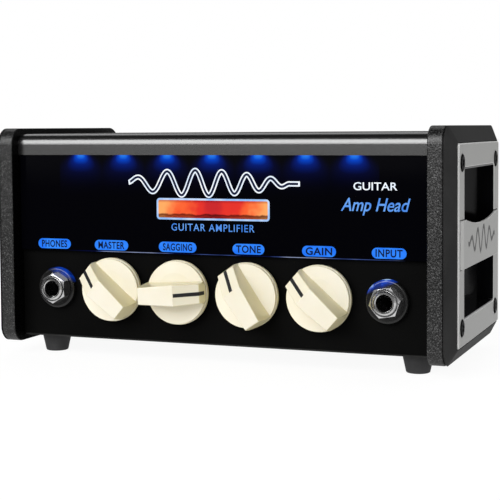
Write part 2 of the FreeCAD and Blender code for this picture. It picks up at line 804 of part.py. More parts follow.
def power_rocker():
    """Rocker with its own pivot pins, at rest with the lower end pressed in."""
    half = rocker_half_width
    barrel = rod_x(pivot_y, rear_height, rocker_radius, switch_place - half, switch_place + half)
    crest = 5.2
    side_view = [
        (pivot_y - 2.4, rear_height - 7), (pivot_y + crest, rear_height - 7),
        (pivot_y + 3.4, rear_height), (pivot_y + crest, rear_height + 7),
        (pivot_y - 2.4, rear_height + 7)]
    paddle = barrel.common(prism_x(side_view, switch_place - half, switch_place + half))
    pins = rod_x(pivot_y, rear_height, pivot_radius, switch_place - 4.0, switch_place + 4.0)
    rocker = joined(paddle, pins)
    rocker.rotate(Vector(switch_place, pivot_y, rear_height), Vector(1, 0, 0), rocker_tilt)
    return rocker


def dc_inlet():
    """Barrel power inlet with its centre pin."""
    nose = rod_y(dc_place, rear_height, dc_hole_radius, rear_inside, rear_face + 1.0)
    flange = rod_y(dc_place, rear_height, dc_hole_radius + 1.5, rear_face, rear_face + 1.0)
    body = box(dc_place - 5, dc_place + 5, rear_inside - 12, rear_inside, rear_height - 6, rear_height + 6)
    socket = rod_y(dc_place, rear_height, 2.9, rear_inside - 9, rear_face + 2)
    pin = rod_y(dc_place, rear_height, 1.05, rear_inside - 9.5, rear_face + 0.2)
    return joined(joined(nose, flange, body).cut(socket), pin)


def aux_jack():
    nose = rod_y(aux_place, rear_height, aux_hole_radius, rear_inside, rear_face + 1.2)
    flange = rod_y(aux_place, rear_height, aux_hole_radius + 1.2, rear_face, rear_face + 0.8)
    body = box(
        aux_place - 5.5, aux_place + 5.5, rear_inside - 14, rear_inside,
        rear_height - 4.5, rear_height + 4.5)
    bore = rod_y(aux_place, rear_height, 1.8, rear_face + 1.2 - 14.5, rear_face + 2)
    return joined(nose, flange, body).cut(bore)


save("switch_frame", switch_frame())
save("power_rocker", power_rocker())
save("dc_inlet", dc_inlet())
save("aux_jack", aux_jack())

# ---- electronics inside -------------------------------------------------------------
board_bottom = 15.0
board_thickness = 1.6
board_top = board_bottom + board_thickness
board_rear = front + 76.0
pot_back = panel_front + sheet + can_length
control_board_back = pot_back + board_thickness


def main_board():
    board = box(-60, 60, front + 26, board_rear, board_bottom, board_top)
    return board.cut([rod_z(x, y, screw_radius + 0.1, 0, 30) for x, y in board_holes])


def standoffs():
    posts = []
    for x, y in board_holes:
        post = rod_z(x, y, 2.8, floor_top, board_bottom)
        posts.append(post.cut(rod_z(x, y, screw_radius, 0, 30)))
    return posts


def board_screws():
    """One long screw through each board corner, standoff and chassis floor."""
    screws = []
    for x, y in board_holes:
        head = rod_z(x, y, 2.8, board_top, board_top + 1.8)
        recess = cross_recess(
            Vector(x, y, board_top + 1.9), Vector(0, 0, 1), Vector(1, 0, 0), 3.4, 0.8, 1.0)
        screws.append(joined(head.cut(recess), rod_z(x, y, screw_radius, chassis_bottom, board_top)))
    return screws


def heatsink():
    """Aluminium block with upright fins, clamped on top of the amplifier chip."""
    base = box(-20, 20, front + 38, front + 62, board_top + 2.4, board_top + 5.4)
    fins = []
    for i in range(9):
        x = -20 + i * (40 - 1.4) / 8
        fins.append(box(x, x + 1.4, front + 38, front + 62, board_top + 5.0, board_top + 26))
    return joined(base, *fins)


def capacitors():
    cans = []
    for x in (-46, -34):
        for y in (front + 42, front + 56):
            can = rod_z(x, y, 5.0, board_top, board_top + 20)
            top = [edge for edge in can.Edges if edge.BoundBox.ZMin > board_top + 19.9]
            cans.append(can.makeFillet(0.8, top))
    return cans


def inductors():
    rings = []
    for y in (front + 41, front + 60):
        ring = rod_z(36, y, 8.0, board_top, board_top + 8).cut(rod_z(36, y, 3.5, 0, 60))
        rims = [edge for edge in ring.Edges if edge.BoundBox.ZLength < 1e-3]
        rings.append(ring.makeFillet(1.5, rims))
    return rings


def ribbon_cable():
    """Flat cable from the control board, back and down to the main board."""
    start = control_board_back
    turn = front + 33.0
    thick = 0.9
    level = 24.0
    profile = [
        (start, level), (turn, level), (turn, board_top), (turn - thick, board_top),
        (turn - thick, level - thick), (start, level - thick)]
    strip = prism_x(profile, -9, 9)
    corner = [edge for edge in along(strip, Vector(1, 0, 0))
              if edge.BoundBox.YMin > turn - 1e-3 and edge.BoundBox.ZMin > level - 1e-3]
    return strip.makeFillet(0.8, corner)


save("main_board", main_board())
save_group("board_standoffs", standoffs())
save_group("board_screws", board_screws())
save("amplifier_chip", box(-7, 7, front + 43, front + 57, board_top, board_top + 2.4))
save("heatsink", heatsink())
save_group("filter_capacitors", capacitors())
save_group("output_inductors", inductors())
save("control_board", box(-56, 56, pot_back, control_board_back, 14, 44))
save("ribbon_cable", ribbon_cable())
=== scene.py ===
"""Looks of the small guitar amplifier head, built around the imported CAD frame."""
import json
import math

import bmesh
import bpy
from mathutils import Matrix, Vector


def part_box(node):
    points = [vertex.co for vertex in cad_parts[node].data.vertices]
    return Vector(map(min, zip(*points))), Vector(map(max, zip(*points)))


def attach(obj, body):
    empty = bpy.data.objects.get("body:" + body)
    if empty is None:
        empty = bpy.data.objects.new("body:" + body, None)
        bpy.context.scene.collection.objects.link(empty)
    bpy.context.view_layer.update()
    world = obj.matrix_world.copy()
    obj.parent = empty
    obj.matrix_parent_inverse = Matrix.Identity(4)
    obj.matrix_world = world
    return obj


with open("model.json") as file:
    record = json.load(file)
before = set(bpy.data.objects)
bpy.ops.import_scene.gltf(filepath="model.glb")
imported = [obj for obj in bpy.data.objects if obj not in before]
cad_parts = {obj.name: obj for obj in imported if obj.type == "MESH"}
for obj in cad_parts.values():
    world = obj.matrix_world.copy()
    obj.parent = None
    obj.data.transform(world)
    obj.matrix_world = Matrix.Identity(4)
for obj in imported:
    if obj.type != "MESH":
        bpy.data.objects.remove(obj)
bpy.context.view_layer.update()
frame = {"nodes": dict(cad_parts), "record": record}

MM = 0.001
scene = bpy.context.scene
scene.view_settings.view_transform = "Standard"
nodes = frame["nodes"]


# ---- reference places, all read from the frame --------------------------------------
panel_low, panel_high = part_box("chassis_tray")
acrylic_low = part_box("acrylic_panel")[0]
front_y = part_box("right_cheek")[0].y
lip_bottom_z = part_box("top_cover")[0].z


def node_centre(name):
    low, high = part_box(name)
    return (low + high) / 2


# ---- node-material helpers ----------------------------------------------------------
class Shader:
    """A Principled material with short calls for adding and joining nodes."""

    def __init__(self, name):
        self.material = bpy.data.materials.new(name)
        self.material.use_nodes = True
        self.tree = self.material.node_tree
        self.main = self.tree.nodes["Principled BSDF"]

    def add(self, kind, **values):
        node = self.tree.nodes.new("ShaderNode" + kind)
        for key, value in values.items():
            if hasattr(node, key):
                setattr(node, key, value)
            else:
                node.inputs[key.replace("_", " ")].default_value = value
        return node

    def link(self, source, target):
        self.tree.links.new(source, target)

    def set(self, **values):
        for key, value in values.items():
            self.main.inputs[key.replace("_", " ")].default_value = value

    def drive(self, input_name, source):
        """Joins a socket to an input of the Principled shader."""
        self.link(source, self.main.inputs[input_name])

    def position(self):
        """Coordinates in metres in the object's own frame, so a pattern rides with its piece."""
        return self.add("TexCoord").outputs["Object"]

    def flat_normal(self):
        return self.add("NewGeometry").outputs["True Normal"]

    def parts(self, vector):
        """The X, Y and Z outputs of a vector."""
        split = self.add("SeparateXYZ")
        self.link(vector, split.inputs[0])
        return split.outputs

    def noise(self, scale, detail=3.0, roughness=0.5, source=None):
        node = self.add("TexNoise", Scale=scale, Detail=detail, Roughness=roughness)
        self.link(source or self.position(), node.inputs["Vector"])
        return node.outputs["Fac"]

    def ramp(self, source, stops, smooth=False):
        node = self.add("ValToRGB")
        if smooth:
            node.color_ramp.interpolation = "EASE"
        elements = node.color_ramp.elements
        while len(elements) < len(stops):
            elements.new(0.5)
        for element, (place, colour) in zip(elements, stops):
            element.position = place
            element.color = (*colour, 1.0)
        self.link(source, node.inputs["Fac"])
        return node.outputs["Color"]

    def between(self, source, low, high, out_low, out_high):
        node = self.add("MapRange", clamp=True)
        ends = {"From Min": low, "From Max": high, "To Min": out_low, "To Max": out_high}
        for name, value in ends.items():
            node.inputs[name].default_value = value
        self.link(source, node.inputs["Value"])
        return node.outputs["Result"]

    def math(self, operation, first, second=0.0, third=None):
        node = self.add("Math", operation=operation)
        for slot, value in enumerate((first, second, third)):
            if value is None:
                continue
            if isinstance(value, (int, float)):
                node.inputs[slot].default_value = value
            else:
                self.link(value, node.inputs[slot])
        return node.outputs[0]

    def product(self, first, *others):
        """All the given values multiplied together."""
        result = first
        for other in others:
            result = self.math("MULTIPLY", result, other)
        return result

    def mix(self, factor, first, second, blend="MIX"):
        node = self.add("Mix", data_type="RGBA", blend_type=blend)
        for slot, value in ((0, factor), (6, first), (7, second)):
            if isinstance(value, (int, float)):
                node.inputs[slot].default_value = value
            elif isinstance(value, tuple):
                node.inputs[slot].default_value = (*value, 1.0)
            else:
                self.link(value, node.inputs[slot])
        return node.outputs[2]

    def bump(self, height, distance, strength=1.0):
        node = self.add("Bump", Strength=strength, Distance=distance)
        self.link(height, node.inputs["Height"])
        self.link(node.outputs["Normal"], self.main.inputs["Normal"])


def neutral(level):
    """A grey of one level, as red, green and blue."""
    return (level, level, level)


def neutrals(*stops):
    """Colour stops of pure grey from (place, level) pairs."""
    return [(place, neutral(level)) for place, level in stops]


def grained_black():
    """Textured coat of the cheeks: speckled on the front and back edges, with painted shade making
    flanks and tops near-black.
    """
    s = Shader("textured_coat")
    fine = s.noise(3000.0, 2.0, 0.6)
    broad = s.noise(1700.0, 2.0, 0.6)
    fine_share = 0.6
    grain = s.math("ADD", s.product(fine, fine_share), s.product(broad, 1.0 - fine_share))
    speckle = s.ramp(grain, neutrals((0.40, 0.001), (0.51, 0.004), (0.62, 0.11)))
    edge_on = s.math("ABSOLUTE", s.parts(s.flat_normal())["Y"])
    spared_from_painted_shade = s.between(edge_on, 0.25, 0.80, 0.0, 1.0)
    # Painted shade: flanks and tops are near-black; only the front and back faces keep the speckle.
    s.drive("Base Color", s.mix(spared_from_painted_shade, neutral(0.0015), speckle))
    s.drive("Roughness", s.between(grain, 0.35, 0.65, 0.34, 0.20))
    s.drive("Specular IOR Level", s.between(edge_on, 0.25, 0.80, 0.04, 0.5))
    s.bump(grain, 0.14 * MM, 1.0)
    return s.material


def satin_lid():
    """Smoother coat of the lid: a soft sheen on its rounded lip and a duller flat top."""
    s = Shader("satin_lid")
    grain = s.noise(1500.0, 3.0, 0.6)
    s.drive("Base Color", s.ramp(grain, neutrals((0.40, 0.003), (0.55, 0.005), (0.66, 0.012))))
    s.drive("Roughness", s.between(grain, 0.35, 0.65, 0.26, 0.20))
    upward = s.parts(s.flat_normal())["Z"]
    s.drive("IOR", s.between(upward, 0.96, 0.995, 1.7, 1.12))
    s.drive("Specular IOR Level", s.between(upward, 0.96, 0.995, 1.0, 0.5))
    s.bump(grain, 0.03 * MM, 0.4)
    return s.material


def satin_black(name, colour, roughness, grain=1500.0, ior=1.5):
    """Plain dark finish, slightly cloudy in tone and gloss."""
    s = Shader(name)
    s.set(IOR=ior)
    cloud = s.noise(60.0, 4.0)
    fine = s.noise(grain, 2.0)
    spread = 0.18
    dark = tuple(c * (1.0 - spread) for c in colour)
    light = tuple(c * (1.0 + spread) for c in colour)
    s.drive("Base Color", s.ramp(cloud, [(0.35, dark), (0.65, light)]))
    s.drive("Roughness", s.between(cloud, 0.3, 0.7, roughness - 0.05, roughness + 0.06))
    s.bump(fine, 0.04 * MM, 0.5)
    return s.material


def glossy_black():
    """Polished black whose gloss is a little uneven, as if wiped."""
    s = Shader("polished_black")
    s.set(Base_Color=(0.003, 0.003, 0.004, 1.0), Specular_IOR_Level=0.35)
    marks = s.noise(35.0, 5.0, 0.7)
    s.drive("Roughness", s.between(marks, 0.3, 0.8, 0.10, 0.22))
    s.bump(s.noise(300.0, 2.0), 0.02 * MM, 0.3)
    return s.material


def lit_acrylic():
    """Black acrylic with blue pools of light under the lip and a lit lower edge."""
    s = Shader("lit_acrylic")
    place = s.parts(s.position())
    x, z = place["X"], place["Z"]

    lamp_pitch = 19.4 * MM
    lamp_row_half = 3.5 * lamp_pitch
    pool_half_width = 3.1 * MM
    pool_widening = 0.75
    pool_depth = 4.9 * MM
    cell = s.math("WRAP", s.math("ADD", x, lamp_row_half), lamp_pitch, 0.0)
    aside = s.math("ABSOLUTE", s.math("SUBTRACT", cell, lamp_pitch / 2))
    below = s.math("MAXIMUM", s.math("SUBTRACT", lip_bottom_z + 0.3 * MM, z), 0.0)
    half_width = s.math("ADD", s.product(below, pool_widening), pool_half_width)
    across = s.math("POWER", s.math("DIVIDE", aside, half_width), 2.6)
    down = s.math("POWER", s.math("DIVIDE", below, pool_depth), 1.5)
    under_lamps = s.math("LESS_THAN", s.math("ABSOLUTE", x), lamp_row_half)
    fade_across = s.math("EXPONENT", s.product(across, -1.0))
    fade_down = s.math("EXPONENT", s.product(down, -1.0))
    pool = s.product(fade_across, fade_down, under_lamps)
    pool_colour = s.ramp(pool, [
        (0.0, (0.0, 0.0, 0.0004)), (0.15, (0.0, 0.001, 0.022)), (0.45, (0.0, 0.010, 0.16)),
        (0.75, (0.0, 0.055, 0.55)), (1.0, (0.02, 0.22, 0.92))])

    edge = s.between(z, acrylic_low.z + 0.10 * MM, acrylic_low.z + 0.35 * MM, 1.0, 0.0)
    from_left = s.between(x, -66.0 * MM, -54.0 * MM, 0.0, 1.0)
    to_right = s.between(x, 68.0 * MM, 78.0 * MM, 1.0, 0.0)
    edge_colour = s.ramp(s.noise(45.0, 2.0), [
        (0.42, (0.002, 0.006, 0.06)), (0.52, (0.05, 0.09, 0.30)), (0.62, (0.34, 0.40, 0.62))])
    light = s.mix(s.product(edge, from_left, to_right), pool_colour, edge_colour)
    s.set(Base_Color=(0.0012, 0.0012, 0.0018, 1.0), IOR=1.1, Emission_Strength=1.0)
    s.drive("Emission Color", light)
    s.drive("Roughness", s.between(s.noise(30.0, 5.0, 0.7), 0.3, 0.8, 0.04, 0.12))
    return s.material


def powder_panel():
    """Matt powder coat of the control panel, with a painted reflection of the floor along the lower
    bend.
    """
    s = Shader("powder_panel")
    grain = s.noise(1300.0, 3.0, 0.6)
    cloud = s.noise(25.0, 3.0)
    base = s.ramp(cloud, [(0.3, (0.0022, 0.0022, 0.0022)), (0.7, (0.0036, 0.0036, 0.0035))])
    place = s.parts(s.position())
    # Painted reflection: a lighter, uneven line along the lower bend, where the bright floor would show.
    painted_floor_reflection = s.between(place["Z"], panel_low.z + 0.5 * MM, panel_low.z + 1.1 * MM, 1.0, 0.0)
    uneven = s.between(s.noise(60.0, 3.0), 0.35, 0.65, 0.4, 1.0)
    s.drive("Base Color", s.mix(s.product(painted_floor_reflection, uneven), base, (0.045, 0.045, 0.044)))
    s.drive("Roughness", s.between(grain, 0.3, 0.7, 0.50, 0.64))
    s.set(IOR=1.09)
    s.bump(grain, 0.05 * MM, 0.5)
    return s.material


def strap_gap_painted_shade(s):
    """One inside the gap left round the strap ends, below the outer face of a side panel; there the grey
    is painted near-black as painted shade.
    """
    side_low, side_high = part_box("right_side_panel")
    strap_low, strap_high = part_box("right_handle_strap")
    side_centre = (side_low + side_high) / 2
    side_half = (side_high - side_low) / 2
    strap_centre = (strap_low + strap_high) / 2
    strap_half = (strap_high - strap_low) / 2
    place = s.parts(s.position())
    outward = s.math("ABSOLUTE", place["X"])
    sideways = s.math("ABSOLUTE", s.math("SUBTRACT", place["Y"], side_centre.y))
    upward = s.math("ABSOLUTE", s.math("SUBTRACT", place["Z"], strap_centre.z))
    sunk = s.math("LESS_THAN", outward, side_high.x - 0.12 * MM)
    beside = s.math("LESS_THAN", upward, strap_half.z + 0.5 * MM)
    within = s.math("LESS_THAN", sideways, side_half.y - 1.0 * MM)
    return s.product(sunk, beside, within)


def grey_paint(name):
    """Shader of a smooth satin grey with fine flake, with a painted highlight on the bevels and painted
    shade in the gap round the strap ends.
    """
    s = Shader(name)
    flake = s.noise(3500.0, 1.0)
    cloud = s.noise(40.0, 3.0)
    base = s.ramp(cloud, [(0.3, (0.335, 0.335, 0.328)), (0.7, (0.37, 0.37, 0.36))])
    flaked = s.mix(s.between(flake, 0.58, 0.72, 0.0, 0.25), base, (0.55, 0.55, 0.54))
    facing_out = s.math("ABSOLUTE", s.parts(s.flat_normal())["X"])
    # Painted highlight: faces turned away from the side plane, the bevels, are lighter.
    with_painted_bevel_highlight = s.mix(s.between(facing_out, 0.90, 0.98, 1.0, 0.0), flaked, (0.70, 0.70, 0.69))
    # Painted shade: the gap round the strap ends is near-black.
    s.drive("Base Color", s.mix(strap_gap_painted_shade(s), with_painted_bevel_highlight, neutral(0.008)))
    s.set(Metallic=0.15)
    s.drive("Roughness", s.between(cloud, 0.3, 0.7, 0.36, 0.46))
    s.bump(flake, 0.03 * MM, 0.4)
    return s


def engraved_grey(low, high):
    """Shader of the grey paint with a wave engraved along the middle of the strap, its groove painted
    dark as painted shade.
    """
    s = grey_paint("engraved_grey")
    place = s.parts(s.position())
    centre = (low + high) / 2
    half_length = 0.36 * (high.y - low.y)
    end_phase = 4.5 * math.pi
    swell = 4.6 * MM
    along = s.math("DIVIDE", s.math("SUBTRACT", place["Y"], centre.y), half_length)
    envelope = s.math("MAXIMUM", s.math("SUBTRACT", 1.0, s.product(along, along)), 0.0)
    phase = s.product(along, end_phase)
    wave = s.product(s.math("SINE", phase), envelope, swell)
    slope = s.product(s.math("COSINE", phase), envelope, swell * end_phase / half_length)
    steepness = s.math("SQRT", s.math("ADD", s.product(slope, slope), 1.0))
    height = s.math("SUBTRACT", place["Z"], centre.z)
    away = s.math("DIVIDE", s.math("ABSOLUTE", s.math("SUBTRACT", height, wave)), steepness)
    inside = s.math("LESS_THAN", s.math("ABSOLUTE", along), 1.0)
    groove_painted_shade = s.product(s.between(away, 0.70 * MM, 0.90 * MM, 1.0, 0.0), inside)
    rim = s.product(s.between(away, 0.80 * MM, 1.20 * MM, 1.0, 0.0), inside)
    painted = s.main.inputs["Base Color"].links[0].from_socket
    # Painted shade: the engraved groove is coloured near-black.
    s.drive("Base Color", s.mix(groove_painted_shade, painted, neutral(0.012)))
    s.bump(s.math("SUBTRACT", 1.0, rim), 0.5 * MM, 0.8)
    return s


def cream_plastic():
    """Moulded cream plastic with a soft gloss; faces turned away from the front are a deeper, darker
    yellow as painted shade.
    """
    s = Shader("cream_plastic")
    cloud = s.noise(70.0, 4.0, 0.6)
    face = s.ramp(cloud, [(0.3, (0.88, 0.82, 0.66)), (0.7, (0.91, 0.86, 0.72))])
    flank_painted_shade = s.ramp(cloud, [(0.3, (0.88, 0.79, 0.47)), (0.7, (0.91, 0.83, 0.53))])
    normal = s.parts(s.add("NewGeometry").outputs["Normal"])
    # Painted shade: faces not turned to the front take the deeper yellow flank colour.
    base = s.mix(s.between(normal["Y"], -0.9, -0.5, 0.0, 1.0), face, flank_painted_shade)
    specks = s.between(s.noise(2500.0, 2.0), 0.68, 0.76, 0.0, 0.12)
    s.drive("Base Color", s.mix(specks, base, (0.62, 0.53, 0.36)))
    s.drive("Roughness", s.between(cloud, 0.3, 0.7, 0.16, 0.24))
    s.set(Subsurface_Weight=0.08, Subsurface_Scale=0.002, Specular_IOR_Level=0.45)
    s.main.inputs["Subsurface Radius"].default_value = (1.0, 0.7, 0.4)
    s.bump(s.noise(900.0, 2.0), 0.02 * MM, 0.4)
    return s.material


def bright_metal(name, colour, roughness, brushed=False):
    """Plated or bare metal with a faint stain, turned or brushed if asked."""
    s = Shader(name)
    cloud = s.noise(120.0, 5.0, 0.7)
    dark = tuple(c * 0.8 for c in colour)
    s.drive("Base Color", s.ramp(cloud, [(0.3, dark), (0.6, colour)]))
    s.set(Metallic=1.0)
    s.drive("Roughness", s.between(cloud, 0.3, 0.75, roughness, roughness + 0.14))
    if brushed:
        stretch = s.add("Mapping", Scale=(200.0, 4000.0, 200.0))
        s.link(s.position(), stretch.inputs["Vector"])
        s.bump(s.noise(1.0, 2.0, source=stretch.outputs[0]), 0.02 * MM, 0.5)
    else:
        s.bump(s.noise(700.0, 3.0), 0.02 * MM, 0.3)
    return s.material


def lit_collar():
    """Glossy black collar whose upper inner side catches the acrylic's blue light."""
    s = Shader("lit_collar")
    s.drive("Base Color", s.ramp(s.noise(90.0, 4.0), neutrals((0.3, 0.006), (0.7, 0.012))))
    s.drive("Roughness", s.between(s.noise(140.0, 4.0), 0.3, 0.7, 0.16, 0.30))
    place = s.parts(s.position())
    jack_centre = node_centre("input_jack")
    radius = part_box("jack_collars")[1].x - jack_centre.x
    inward = s.math("SUBTRACT", jack_centre.x, s.math("ABSOLUTE", place["X"]))
    rise = s.math("SUBTRACT", place["Z"], jack_centre.z)
    leaning = s.math("ADD", s.product(rise, 0.92 / radius), s.product(inward, 0.38 / radius))
    upward = s.between(leaning, 0.62, 0.88, 0.0, 1.0)
    in_front = s.math("LESS_THAN", place["Y"], 0.0)
    broken = s.between(s.noise(260.0, 3.0), 0.38, 0.62, 0.30, 1.0)
    stronger_right = s.between(place["X"], -radius, radius, 0.50, 1.0)
    amount = s.product(upward, in_front, broken, stronger_right)
    s.drive("Emission Color", s.ramp(amount, [
        (0.0, neutral(0.0)), (0.5, (0.0, 0.05, 0.50)), (1.0, (0.45, 0.68, 1.0))]))
    s.set(Emission_Strength=0.9)
    s.bump(s.noise(900.0, 2.0), 0.03 * MM, 0.4)
    return s.material


def jack_finish():
    """Black nylon case with a plated bushing where the jack comes through its panel."""
    s = Shader("jack_finish")
    place = s.parts(s.position())
    ahead = s.math("LESS_THAN", place["Y"], panel_low.y - 0.1 * MM)
    behind = s.math("GREATER_THAN", place["Y"], panel_high.y + 0.1 * MM)
    plated = s.math("MAXIMUM", ahead, behind)
    cloud = s.noise(120.0, 5.0, 0.7)
    plate = s.ramp(cloud, neutrals((0.3, 0.70), (0.6, 0.90)))
    s.drive("Base Color", s.mix(plated, (0.014, 0.014, 0.015), plate))
    s.drive("Metallic", plated)
    s.drive("Roughness", s.between(cloud, 0.3, 0.75, 0.14, 0.28))
    s.bump(s.noise(700.0, 3.0), 0.01 * MM, 0.2)
    return s.material


def rubber():
    """Dull dark rubber with a little dust."""
    s = Shader("moulded_rubber")
    dust = s.noise(140.0, 5.0, 0.65)
    toned = s.ramp(dust, [(0.4, (0.018, 0.018, 0.019)), (0.8, (0.042, 0.042, 0.044))])
    s.drive("Base Color", toned)
    s.drive("Roughness", s.between(dust, 0.3, 0.7, 0.62, 0.8))
    s.bump(s.noise(1600.0, 2.0), 0.06 * MM, 0.6)
    return s.material


def circuit_green():
    """Green solder mask with a faint pattern of copper tracks."""
    s = Shader("circuit_green")
    tracks = s.add("TexBrick", Scale=90.0)
    s.link(s.position(), tracks.inputs["Vector"])
    colours = {"Color1": (0.01, 0.10, 0.04), "Color2": (0.012, 0.12, 0.05), "Mortar": (0.03, 0.24, 0.10)}
    for name, colour in colours.items():
        tracks.inputs[name].default_value = (*colour, 1.0)
    s.drive("Base Color", tracks.outputs["Color"])
    s.drive("Roughness", s.between(s.noise(80.0), 0.3, 0.7, 0.25, 0.4))
    s.bump(tracks.outputs["Fac"], 0.05 * MM, 0.4)
    return s.material


print_darkening = 0.92


def glow(name, low, high, strength):
    """Printed colour lit from behind, slightly uneven."""
    s = Shader(name)
    colour = s.ramp(s.noise(220.0, 2.0), [(0.35, low), (0.65, high)])
    s.drive("Base Color", s.mix(print_darkening, colour, neutral(0.0)))
    s.drive("Emission Color", colour)
    s.set(Emission_Strength=strength, Roughness=0.25, Specular_IOR_Level=0.2)
    return s.material


def ink():
    """Flat black ink, hardly mottled."""
    s = Shader("black_ink")
    mottled = s.ramp(s.noise(400.0), [(0.3, (0.004, 0.004, 0.005)), (0.7, (0.012, 0.012, 0.013))])
    s.drive("Base Color", mottled)
    s.drive("Roughness", s.between(s.noise(300.0), 0.3, 0.7, 0.4, 0.55))
    return s.material


def sunset_print(low, high):
    """Soft abstract warm gradient for the little picture window."""
    s = Shader("sunset_print")
    place = s.parts(s.position())
    centre_x = (low.x + high.x) / 2
    half_width = (high.x - low.x) / 2
    up = s.between(place["Z"], low.z, high.z, 0.0, 1.0)
    aside = s.math("ABSOLUTE", s.math("DIVIDE", s.math("SUBTRACT", place["X"], centre_x), half_width))
    drift = s.product(s.math("SUBTRACT", s.noise(110.0, 3.0), 0.5), 0.9)
    sky = s.ramp(s.math("ADD", aside, drift), [
        (0.0, (0.58, 0.018, 0.022)), (0.30, (0.78, 0.030, 0.02)), (0.55, (0.95, 0.12, 0.03)),
        (0.90, (1.0, 0.40, 0.12))], smooth=True)
    upper_edge = s.ramp(up, [(0.80, neutral(1.0)), (1.0, (0.45, 0.20, 0.40))])
    unevenness = s.product(s.math("SUBTRACT", s.noise(260.0, 4.0), 0.5), 0.28)
    ground = s.ramp(s.math("ADD", up, unevenness), [
        (0.0, (0.12, 0.08, 0.07)), (0.09, (0.42, 0.38, 0.36)), (0.20, (0.16, 0.10, 0.09)),
        (0.28, neutral(1.0))])
    tinted = s.mix(1.0, sky, upper_edge, blend="MULTIPLY")
    lit = s.mix(1.0, tinted, ground, blend="MULTIPLY")
    s.drive("Base Color", s.mix(print_darkening, lit, neutral(0.0)))
    s.drive("Emission Color", lit)
    s.set(Emission_Strength=0.95, Roughness=0.2, Specular_IOR_Level=0.2)
    return s.material


# ---- materials on the CAD nodes -----------------------------------------------------
coat = grained_black()
moulded = satin_black("moulded_black", neutral(0.030), 0.42, ior=1.08)
panel_coat = powder_panel()
side_grey = grey_paint("grey_paint").material
gloss = glossy_black()
acrylic = lit_acrylic()
cream = cream_plastic()
nickel = bright_metal("bright_nickel", (0.95, 0.95, 0.96), 0.11)
steel = bright_metal("turned_steel", (0.52, 0.52, 0.53), 0.30, brushed=True)
brass = bright_metal("turned_brass", (0.75, 0.55, 0.25), 0.28, brushed=True)
alloy = bright_metal("extruded_alloy", (0.55, 0.55, 0.57), 0.34, brushed=True)
blackened = satin_black("blackened_steel", neutral(0.0015), 0.12, 900.0, ior=1.04)
collar_black = lit_collar()
jack_metal = jack_finish()
nylon = satin_black("black_nylon", (0.014, 0.014, 0.015), 0.42)
sleeve = satin_black("sleeved_part", (0.03, 0.03, 0.05), 0.35)
cable = satin_black("grey_cable", (0.25, 0.25, 0.26), 0.5)
foot_rubber = rubber()
board = circuit_green()
black_ink = ink()
lamp = glow("lamp_blue", (0.05, 0.18, 0.9), (0.15, 0.35, 1.0), 4.0)

by_slot = {
    "textured_black": coat, "satin_black": moulded, "panel_black": panel_coat, "side_grey": side_grey,
    "gloss_black": gloss, "black_screw": blackened, "rubber": foot_rubber, "chrome": nickel,
    "dark_collar": collar_black, "jack_body": jack_metal, "cream": cream, "ink": black_ink,
    "steel": steel, "rear_plastic": nylon, "circuit_board": board, "lamp": lamp, "brass": brass,
    "heatsink": alloy, "component_dark": sleeve, "cable_grey": cable,
}


def dress(node, material):
    holder = nodes[node]
    if not holder.material_slots:
        holder.data.materials.append(material)
    for material_slot in holder.material_slots:
        material_slot.material = material


for part in frame["record"]["subparts"]:
    dress(part["node"], by_slot[part["material_slot"]])
dress("acrylic_panel", acrylic)
dress("top_cover", satin_lid())
engraved = engraved_grey(*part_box("right_handle_strap")).material
dress("right_handle_strap", engraved)
dress("left_handle_strap", engraved)


def finish_cad_shading(sharp_angle=28.0):
    """Smooth shading across the facets of rounds, with real edges kept sharp."""
    for holder in nodes.values():
        mesh = holder.data
        for polygon in mesh.polygons:
            polygon.use_smooth = True
        mesh.set_sharp_from_angle(angle=math.radians(sharp_angle))


finish_cad_shading()


# ---- new pieces ---------------------------------------------------------------------
def piece(name, mesh_data, material, body):
    """Adds a named mesh to the scene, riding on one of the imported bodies."""
    made = bpy.data.objects.new(name, mesh_data)
    scene.collection.objects.link(made)
    made.data.materials.clear()
    made.data.materials.append(material)
    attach(made, body)


def from_bmesh(name, mesh_builder):
    """Mesh data from a finished builder, smooth but for its real edges."""
    data = bpy.data.meshes.new(name)
    mesh_builder.normal_update()
    mesh_builder.to_mesh(data)
    mesh_builder.free()
    for polygon in data.polygons:
        polygon.use_smooth = True
    data.set_sharp_from_angle(angle=math.radians(30))
    return data


ink_lift = 0.06 * MM
ink_thickness = 0.05 * MM


def lettering(text, x, z, height, width, slant=0.0, weight=0.0, spacing=1.0, to_rear=False):
    """Mesh of a word standing upright around (x, z), scaled to fill a box of the given size."""
    curve = bpy.data.curves.new("lettering", "FONT")
    curve.body = text
    curve.align_x = "CENTER"
    curve.align_y = "CENTER"
    curve.shear = slant
    curve.extrude = ink_thickness / 2
    curve.offset = weight
    curve.space_character = spacing
    holder = bpy.data.objects.new("lettering", curve)
    scene.collection.objects.link(holder)
    bpy.context.view_layer.update()
    evaluated = holder.evaluated_get(bpy.context.evaluated_depsgraph_get())
    data = bpy.data.meshes.new_from_object(evaluated)
    bpy.data.objects.remove(holder)
    left, right = (pick(v.co.x for v in data.vertices) for pick in (min, max))
    bottom, top = (pick(v.co.y for v in data.vertices) for pick in (min, max))
    scale_x = width / (right - left)
    scale_z = height / (top - bottom)
    turn = -1 if to_rear else 1
    for vertex in data.vertices:
        across = (vertex.co.x - (left + right) / 2) * scale_x
        upward = (vertex.co.y - (bottom + top) / 2) * scale_z
        vertex.co = Vector((x + turn * across, -turn * vertex.co.z, z + upward))
    return data


def moved_along_y(data, y):
    for vertex in data.vertices:
        vertex.co.y += y
    return data


